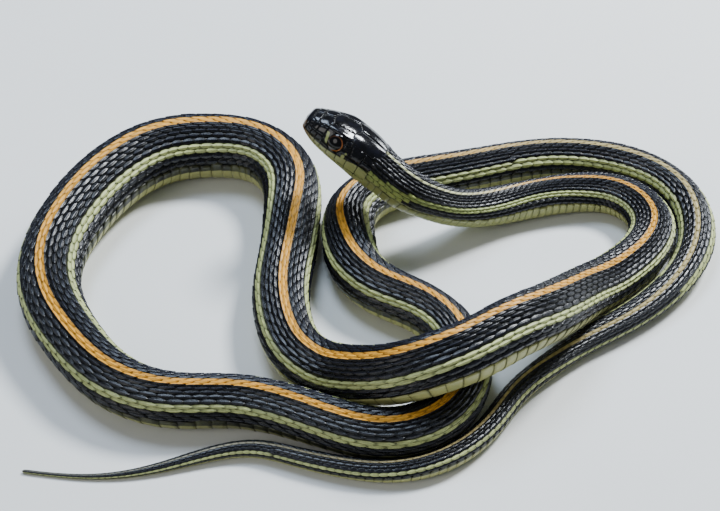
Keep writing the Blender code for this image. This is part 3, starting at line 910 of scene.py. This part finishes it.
def markings_group():
    """Colours of the snake at a length along it (mm) and a turn round it (degrees).

    The gold stripe and the belly have even edges. The side stripe takes whole scales, by the
    turn of their row.
    """
    outputs = [("Color", "NodeSocketColor"), ("Pale", "NodeSocketFloat"),
               ("Stripe", "NodeSocketFloat")]
    group, w = new_group("Markings", ["Along", "Turn", "Wobble", "Row"], outputs)
    given = w.node("NodeGroupInput").outputs
    along = given["Along"]
    turn = w.math("MULTIPLY_ADD", given["Wobble"], BODY_WOBBLE, given["Turn"])
    row = given["Row"]

    off_stripe = w.math("SUBTRACT", turn, w.profile(along, STRIPE_HALF))
    stripe = w.math("SUBTRACT", 1.0, w.step(off_stripe, *STRIPE_EDGE))
    stripe = w.math("MULTIPLY", stripe, w.step(along, *STRIPE_START))

    upper = w.math("MULTIPLY_ADD", w.step(along, *FEWER_ROWS), UPPER_SHIFTS[0], SIDE_UPPER)
    upper = w.math("MULTIPLY_ADD", w.step(along, *FEWEST_ROWS), UPPER_SHIFTS[1], upper)
    upper = w.math("ADD", upper, w.ramp(along, *NECK_UPPER))
    lower = w.math("MULTIPLY_ADD", w.step(along, *FEWER_ROWS), LOWER_SHIFT, SIDE_LOWER)
    lower = w.math("ADD", lower, w.ramp(along, *NECK_LOWER))
    side = w.step(w.math("SUBTRACT", row, upper), *SIDE_EDGE)
    side = w.math("MULTIPLY", side, w.step(w.math("SUBTRACT", lower, row), *SIDE_EDGE))
    belly = w.math("SUBTRACT", turn, w.profile(along, BELLY_TOP))
    belly = w.step(belly, *BELLY_EDGE)

    colour = w.mix(stripe, INK, w.tones(NAPE_PALE, along, STRIPE_TONES))
    colour = w.mix(side, colour, w.tones(NECK_GREEN, along, SIDE_TONES))
    colour = w.mix(belly, colour, w.tones(LIP_SAGE, along, BELLY_TONES))
    pale = w.math("MAXIMUM", w.math("MAXIMUM", stripe, side), belly)

    out = w.node("NodeGroupOutput").inputs
    w.feed(out["Color"], colour)
    w.feed(out["Pale"], pale)
    w.feed(out["Stripe"], stripe)
    return group


# Markings of the head: distances back from the snout (mm), turns (degrees)
HEAD_WOBBLE = 2.0
LIP_LINE = [(6.0, 102.0), (11.0, 89.0), (17.5, 78.0)]  # top of the pale lips
LIP_EDGE = (-0.8, 0.8)
# The pale bar before the eye: its middle goes back from one distance to another between two turns
BAR_LEAN = (58.0, 90.0, 5.3, 5.95)
BAR_EDGE = (0.34, 0.22)
BAR_TOP = (56.0, 59.0)
BAR_FOOT = (93.0, 88.0)
SPOTS = [(10.5, 79.0, 0.3), (10.3, 88.0, 0.45)]  # pale spots behind the eye, with radius
SPOT_TURN = 12.0               # degrees that count as one mm across a spot
SNOUT_BACK = (1.0, 0.2)        # the brown of the snout starts at the first, full at the second
SNOUT_TURN = (60.0, 84.0)
SNOUT_SHARE = 0.75
NOSTRIL_MARK = (0.34, 4.0)     # half the length (mm) and half the turn of the painted shade in the nostril
NOSTRIL_EDGE = (1.2, 0.7)
LIP_BROWN = (5.0, 0.5)         # the lips turn brown towards the snout between these


def head_markings_group():
    """Colours of the head: black shields, pale lips and throat, a bar before the eye."""
    outputs = [("Color", "NodeSocketColor"), ("Pale", "NodeSocketFloat")]
    group, w = new_group("Head markings", ["Back", "Turn", "Wobble"], outputs)
    given = w.node("NodeGroupInput").outputs
    back = given["Back"]
    turn = w.math("MULTIPLY_ADD", given["Wobble"], HEAD_WOBBLE, given["Turn"])
    lip = w.math("SUBTRACT", turn, w.profile(back, LIP_LINE))
    lip = w.step(lip, *LIP_EDGE)
    bar = w.math("SUBTRACT", back, w.ramp(turn, *BAR_LEAN))
    bar = w.step(w.math("ABSOLUTE", bar), *BAR_EDGE)
    ends = w.math("MULTIPLY", w.step(turn, *BAR_TOP), w.step(turn, *BAR_FOOT))
    bar = w.math("MULTIPLY", bar, ends)
    for spot_back, spot_turn, reach in SPOTS:
        near = w.math("DIVIDE", w.math("SUBTRACT", turn, spot_turn), SPOT_TURN)
        near = w.math("POWER", w.math("ABSOLUTE", near), 2.0)
        off = w.math("SUBTRACT", back, spot_back)
        near = w.math("SQRT", w.math("MULTIPLY_ADD", off, off, near))
        bar = w.math("MAXIMUM", bar, w.step(near, reach, reach * 0.6))
    snout = w.math("MULTIPLY", w.step(back, *SNOUT_BACK), w.step(turn, *SNOUT_TURN))
    # Painted shade: the hole of the nostril is darkened to near black.
    nostril_back = w.math("SUBTRACT", back, NOSTRIL[0])
    nostril_back = w.math("DIVIDE", nostril_back, NOSTRIL_MARK[0])
    nostril_turn = w.math("SUBTRACT", given["Turn"], NOSTRIL[1])
    nostril_turn = w.math("DIVIDE", nostril_turn, NOSTRIL_MARK[1])
    nostril = w.math("ADD", w.math("MULTIPLY", nostril_back, nostril_back),
                    w.math("MULTIPLY", nostril_turn, nostril_turn))
    colour = w.mix(w.math("MULTIPLY", snout, SNOUT_SHARE), INK, SNOUT_TAN)
    colour = w.mix(bar, colour, BAR_SAGE)
    colour = w.mix(lip, colour, w.mix(w.step(back, *LIP_BROWN), LIP_SAGE, SNOUT_TAN))
    colour = w.mix(w.step(nostril, *NOSTRIL_EDGE), colour, NOSTRIL_SHADE)
    out = w.node("NodeGroupOutput").inputs
    w.feed(out["Color"], colour)
    w.feed(out["Pale"], lip)
    return group


BUMP_STRENGTH = 0.6
GRAIN = (0.3, 0.7)             # a noise runs from its low to its high between these
GAP_SHADE = (0.85, 0.45)       # how dark the gaps are beside black scales, and beside gold ones


def new_material(name, **settings):
    material = bpy.data.materials.new(name)
    material.use_nodes = True
    shader = material.node_tree.nodes["Principled BSDF"]
    for label, value in settings.items():
        shader.inputs[label.replace("_", " ").title().replace("Ior", "IOR")].default_value = value
    return material, shader, Wires(material.node_tree)


def lie_sockets(w, name="Lie"):
    """Length along the snake (mm) and turn without its sign (degrees)."""
    x, y, _ = w.split(w.uv_map(name))
    turn = w.math("MULTIPLY", w.math("ABSOLUTE", y), 180.0)
    turn = w.math("MINIMUM", turn, w.math("SUBTRACT", 360.0, turn))
    return w.math("MULTIPLY", x, 100.0), turn


def object_place(w):
    return w.node("ShaderNodeTexCoord").outputs["Object"]


def use_markings(w, group, wobble_scale, **given):
    made = w.node("ShaderNodeGroup", node_tree=group)
    given["Wobble"] = w.math("SUBTRACT", w.noise(object_place(w), wobble_scale), 0.5)
    for label, value in given.items():
        w.feed(made.inputs[label], value)
    return list(made.outputs)


def bump(w, shader, height, distance):
    made = w.node("ShaderNodeBump")
    made.inputs["Distance"].default_value = distance
    made.inputs["Strength"].default_value = BUMP_STRENGTH
    w.feed(made.inputs["Height"], height)
    w.feed(shader.inputs["Normal"], made.outputs["Normal"])


def scale_material(markings):
    material, shader, w = new_material("keeled_scales", specular_ior_level=0.42)
    place = object_place(w)
    along, turn = lie_sockets(w)
    _, row = lie_sockets(w, "Root")
    colour, pale, stripe = use_markings(w, markings, 900.0, Along=along, Turn=turn, Row=row)
    down, across, _ = w.split(w.uv_map("Scale"))
    off_keel = w.math("ABSOLUTE", w.math("SUBTRACT", across, 0.5))
    keel = w.step(off_keel, 0.12, 0.03)
    fleck = w.node("ShaderNodeAttribute", attribute_name="Fleck").outputs["Fac"]
    grain = w.noise(place, 2600.0, 3.0)

    # Painted sheen: the keels of the black scales are mixed towards a bluish grey.
    keel_sheen = w.math("MULTIPLY", w.math("MULTIPLY", keel, 0.5), w.math("SUBTRACT", 1.0, pale))
    colour = w.mix(keel_sheen, colour, SHEEN_INK)
    # Each scale's tone differs at random and with a fine grain; on top of that it carries painted
    # shade.
    tone_and_shade = w.ramp(fleck, 0.0, 1.0, 0.84, 1.12)
    tone_and_shade = w.math("MULTIPLY", tone_and_shade, w.ramp(grain, *GRAIN, 0.8, 1.12))
    # Painted shade: darker towards the root, where the scale before lies over it, and along the
    # sides and the tip, by the gaps.
    tone_and_shade = w.math("MULTIPLY", tone_and_shade, w.ramp(down, 0.0, 0.4, 0.4, 1.0))
    edge = w.math("MAXIMUM", w.step(off_keel, 0.33, 0.45), w.step(down, 0.86, 0.96))
    edge = w.math("MULTIPLY", edge, w.ramp(stripe, 0.0, 1.0, *GAP_SHADE))
    tone_and_shade = w.math("MULTIPLY", tone_and_shade, w.math("SUBTRACT", 1.0, edge))
    tint = w.node("ShaderNodeCombineColor")
    for socket in tint.inputs:
        w.feed(socket, tone_and_shade)
    colour = w.mix(1.0, colour, tint.outputs[0], "MULTIPLY")
    w.feed(shader.inputs["Base Color"], colour)
    rough = w.ramp(grain, *GRAIN, 0.24, 0.36)
    w.feed(shader.inputs["Roughness"], w.math("ADD", rough, w.math("MULTIPLY", pale, 0.16)))
    bump(w, shader, w.noise(place, 5200.0, 2.0), 0.00004)
    return material


def skin_material(markings, head_markings):
    material, shader, w = new_material("skin", roughness=0.6, specular_ior_level=0.2)
    along, turn = lie_sockets(w)
    body, _, stripe = use_markings(w, markings, 900.0, Along=along, Turn=turn, Row=turn)
    back = w.math("ADD", along, HEAD_LENGTH)
    head, _ = use_markings(w, head_markings, 500.0, Back=back, Turn=turn)
    colour = w.mix(w.step(along, -3.8, -3.4), head, body)
    colour = w.mix(w.ramp(stripe, 0.0, 1.0, *GAP_SHADE), colour, INK)
    w.feed(shader.inputs["Base Color"], colour)
    bump(w, shader, w.noise(object_place(w), 3000.0, 3.0), 0.00006)
    return material


def belly_material(markings):
    material, shader, w = new_material("belly_scutes", specular_ior_level=0.5)
    place = object_place(w)
    along, turn = lie_sockets(w)
    colour = use_markings(w, markings, 500.0, Along=along, Turn=turn, Row=turn)[0]
    down, _, _ = w.split(w.uv_map("Scale"))
    # Painted shade: each plate darkens towards black at its root and its tip, in the creases
    # where the plates overlap.
    root = w.step(down, 0.3, 0.16)
    tip = w.step(down, 0.93, 1.0)
    colour = w.mix(w.math("MULTIPLY", w.math("MAXIMUM", root, tip), 0.7), colour, INK)
    cloud = w.ramp(w.noise(place, 420.0, 3.0), *GRAIN, 0.0, 0.35)
    colour = w.mix(cloud, colour, BELLY_SHADE)
    w.feed(shader.inputs["Base Color"], colour)
    w.feed(shader.inputs["Roughness"], w.ramp(w.noise(place, 2200.0), *GRAIN, 0.32, 0.46))
    bump(w, shader, w.noise(place, 3600.0, 2.0), 0.00003)
    return material


def shield_material(head_markings):
    material, shader, w = new_material("head_shields", specular_ior_level=0.45)
    place = object_place(w)
    along, turn = lie_sockets(w)
    back = w.math("ADD", along, HEAD_LENGTH)
    colour, pale = use_markings(w, head_markings, 600.0, Back=back, Turn=turn)
    # Painted sheen: bluish grey patches over the black shields, kept off the pale lips.
    cloud = w.ramp(w.noise(place, 700.0, 4.0), 0.45, 0.75, 0.0, 0.2)
    colour = w.mix(w.math("MULTIPLY", cloud, w.math("SUBTRACT", 1.0, pale)), colour, SHEEN_INK)
    w.feed(shader.inputs["Base Color"], colour)
    rough = w.ramp(w.noise(place, 2400.0, 3.0), *GRAIN, 0.09, 0.17)
    w.feed(shader.inputs["Roughness"], w.math("ADD", rough, w.math("MULTIPLY", pale, 0.22)))
    bump(w, shader, w.noise(place, 1500.0, 3.0), 0.00004)
    return material


RING = ((0.66, 0.7), (0.79, 0.75))  # its inner and outer edge, as shares of the eye's radius
RING_LIGHT = (-0.1, 0.75)      # it turns from brown to copper towards the low rear
LOW_REAR = (-0.6, -0.8)


def eye_material():
    material, shader, w = new_material("eye", roughness=0.12, coat_weight=0.25,
                                       coat_roughness=0.03, specular_ior_level=0.25)
    x, y, _ = w.split(w.uv_map("Gaze"))
    x = w.math("MULTIPLY", w.math("SUBTRACT", x, 0.5), 2.0)
    y = w.math("MULTIPLY", w.math("SUBTRACT", y, 0.5), 2.0)
    reach = w.math("SQRT", w.math("ADD", w.math("MULTIPLY", x, x), w.math("MULTIPLY", y, y)))
    grain = w.noise(object_place(w), 2600.0, 3.0)
    low_rear = w.math("MULTIPLY_ADD", x, LOW_REAR[0], w.math("MULTIPLY", y, LOW_REAR[1]))
    ring = w.mix(w.step(low_rear, *RING_LIGHT), RING_BROWN, RING_COPPER)
    ring = w.mix(w.ramp(grain, 0.4, 0.7, 0.0, 0.6), ring, RING_SHADE)
    wobble = w.math("MULTIPLY_ADD", w.math("SUBTRACT", grain, 0.5), 0.05, reach)
    in_ring = w.math("MULTIPLY", w.step(wobble, *RING[0]), w.step(wobble, *RING[1]))
    w.feed(shader.inputs["Base Color"], w.mix(in_ring, PUPIL, ring))
    return material


def floor_material():
    material, shader, w = new_material("pale_floor", roughness=0.7)
    cloud = w.ramp(w.noise(object_place(w), 9.0, 3.0), *GRAIN, 0.0, 1.0)
    w.feed(shader.inputs["Base Color"], w.mix(cloud, FLOOR_SHADE, FLOOR_PALE))
    return material


# Floor, light and camera

FLOOR_HALF = 1.5               # half the floor's side (m)
# Name, place (m), width (m), power (W) and colour of each lamp
LAMPS = [
    ("window", (0.33, 0.32, 0.50), 0.17, 8.5, (0.9, 0.95, 1.0)),
    ("sky", (-0.12, 0.26, 0.62), 0.3, 3.4, (0.66, 0.8, 1.0)),
    ("rim", (0.54, 0.50, 0.20), 0.14, 1.6, (0.9, 0.95, 1.0)),
    ("fill", (-0.42, -0.34, 0.40), 0.4, 1.0, (1.0, 0.98, 0.95)),
]
ROOM_COLOUR = (0.82, 0.9, 1.0, 1)
ROOM_LIGHT = 0.2
LENS = 75.0                    # focal length, over a sensor this wide (mm)
SENSOR = 36.0
CAMERA_PLACE = (-0.0027, -0.20624, 0.21448)
CAMERA_TILT = 45.5             # degrees up from looking straight down


def make_floor():
    shape = bmesh.new()
    bmesh.ops.create_grid(shape, x_segments=4, y_segments=4, size=FLOOR_HALF)
    mesh = bpy.data.meshes.new("floor")
    shape.to_mesh(mesh)
    shape.free()
    floor = bpy.data.objects.new("floor", mesh)
    bpy.context.scene.collection.objects.link(floor)
    mesh.materials.append(floor_material())


def add_lamp(name, place, size, power, colour):
    """A round soft lamp that looks at the middle of the floor."""
    lamp = bpy.data.lights.new(name, "AREA")
    lamp.shape = "DISK"
    lamp.size = size
    lamp.energy = power
    lamp.color = colour
    light = bpy.data.objects.new(name, lamp)
    light.location = place
    light.rotation_euler = Vector(place).to_track_quat("Z", "Y").to_euler()
    bpy.context.scene.collection.objects.link(light)


def make_studio():
    make_floor()
    for lamp in LAMPS:
        add_lamp(*lamp)
    world = bpy.data.worlds.new("studio")
    world.use_nodes = True
    background = world.node_tree.nodes["Background"]
    background.inputs["Color"].default_value = ROOM_COLOUR
    background.inputs["Strength"].default_value = ROOM_LIGHT
    bpy.context.scene.world = world


def make_camera():
    lens = bpy.data.cameras.new("camera")
    lens.lens = LENS
    lens.sensor_width = SENSOR
    lens.clip_start = 0.01
    camera = bpy.data.objects.new("camera", lens)
    camera.location = CAMERA_PLACE
    camera.rotation_euler = (math.radians(CAMERA_TILT), 0, 0)
    bpy.context.scene.collection.objects.link(camera)
    bpy.context.scene.camera = camera


def build():
    markings = markings_group()
    head_markings = head_markings_group()
    skin = make_skin(skin_material(markings, head_markings))
    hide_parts("head", *(name for name, _ in FLESH_LENGTHS))
    make_scales(scale_material(markings))
    plates = belly_material(markings)
    make_belly_scutes(plates)
    make_tail_scutes(plates)
    make_throat_scales(belly_material(markings))
    make_shields(shield_material(head_markings))
    eyes = eye_material()
    make_eye("left", 1, eyes)
    make_eye("right", -1, eyes)
    make_studio()
    make_camera()


build()
